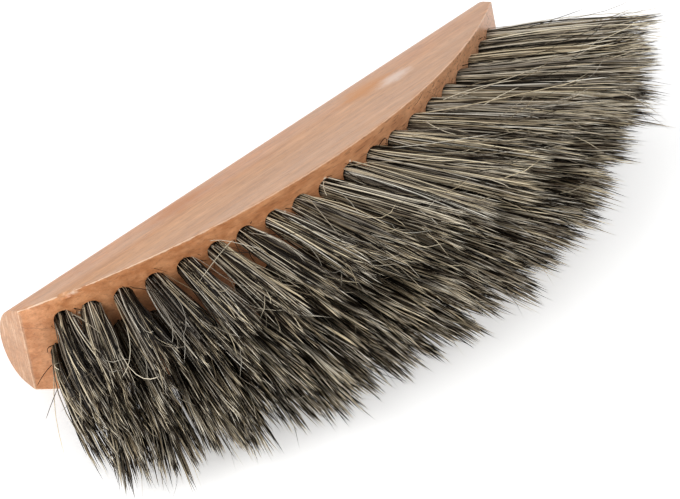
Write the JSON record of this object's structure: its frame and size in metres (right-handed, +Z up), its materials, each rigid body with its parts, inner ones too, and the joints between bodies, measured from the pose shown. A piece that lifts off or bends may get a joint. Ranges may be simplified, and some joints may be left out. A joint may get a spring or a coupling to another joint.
{
  "type": "dusting brush",
  "caption": "Half-moon dusting brush held by its wedge-shaped wooden block, with rows of natural hair tufts fanning out of the curved side.",
  "frame": {"origin": "middle of the whole brush's outline seen from above, on the surface that it lies on", "axes": "+X along the block, -Y towards the hair, +Z up from the lower flank that the brush lies on"},
  "size_m": [0.2176, 0.0874, 0.0575],
  "materials": {
    "beech": "smooth, thinly waxed",
    "pale_horsehair": "satin hair",
    "brown_horsehair": "satin hair",
    "dark_horsehair": "satin hair"
  },
  "bodies": {
    "root": {"block": "beech", "tuft_upper_01": "pale_horsehair", "tuft_upper_02": "pale_horsehair", "tuft_upper_03": "pale_horsehair", "tuft_upper_04": "pale_horsehair", "tuft_upper_05": "pale_horsehair", "tuft_upper_06": "pale_horsehair", "tuft_upper_07": "pale_horsehair", "tuft_upper_08": "pale_horsehair", "tuft_upper_09": "pale_horsehair", "tuft_upper_10": "pale_horsehair", "tuft_upper_11": "pale_horsehair", "tuft_upper_12": "pale_horsehair", "tuft_upper_13": "pale_horsehair", "tuft_upper_14": "pale_horsehair", "tuft_upper_15": "pale_horsehair", "tuft_upper_16": "pale_horsehair", "tuft_upper_17": "pale_horsehair", "tuft_upper_18": "pale_horsehair", "tuft_upper_19": "pale_horsehair", "tuft_upper_20": "pale_horsehair", "tuft_middle_01": "brown_horsehair", "tuft_middle_02": "brown_horsehair", "tuft_middle_03": "brown_horsehair", "tuft_middle_04": "brown_horsehair", "tuft_middle_05": "brown_horsehair", "tuft_middle_06": "brown_horsehair", "tuft_middle_07": "brown_horsehair", "tuft_middle_08": "brown_horsehair", "tuft_middle_09": "brown_horsehair", "tuft_middle_10": "brown_horsehair", "tuft_middle_11": "brown_horsehair", "tuft_middle_12": "brown_horsehair", "tuft_middle_13": "brown_horsehair", "tuft_middle_14": "brown_horsehair", "tuft_middle_15": "brown_horsehair", "tuft_middle_16": "brown_horsehair", "tuft_middle_17": "brown_horsehair", "tuft_middle_18": "brown_horsehair", "tuft_middle_19": "brown_horsehair", "tuft_middle_20": "brown_horsehair", "tuft_middle_21": "brown_horsehair", "tuft_lower_01": "dark_horsehair", "tuft_lower_02": "dark_horsehair", "tuft_lower_03": "dark_horsehair", "tuft_lower_04": "dark_horsehair", "tuft_lower_05": "dark_horsehair", "tuft_lower_06": "dark_horsehair", "tuft_lower_07": "dark_horsehair", "tuft_lower_08": "dark_horsehair", "tuft_lower_09": "dark_horsehair", "tuft_lower_10": "dark_horsehair", "tuft_lower_11": "dark_horsehair", "tuft_lower_12": "dark_horsehair", "tuft_lower_13": "dark_horsehair", "tuft_lower_14": "dark_horsehair", "tuft_lower_15": "dark_horsehair", "tuft_lower_16": "dark_horsehair", "tuft_lower_17": "dark_horsehair", "tuft_lower_18": "dark_horsehair"}
  },
  "joints": []
}
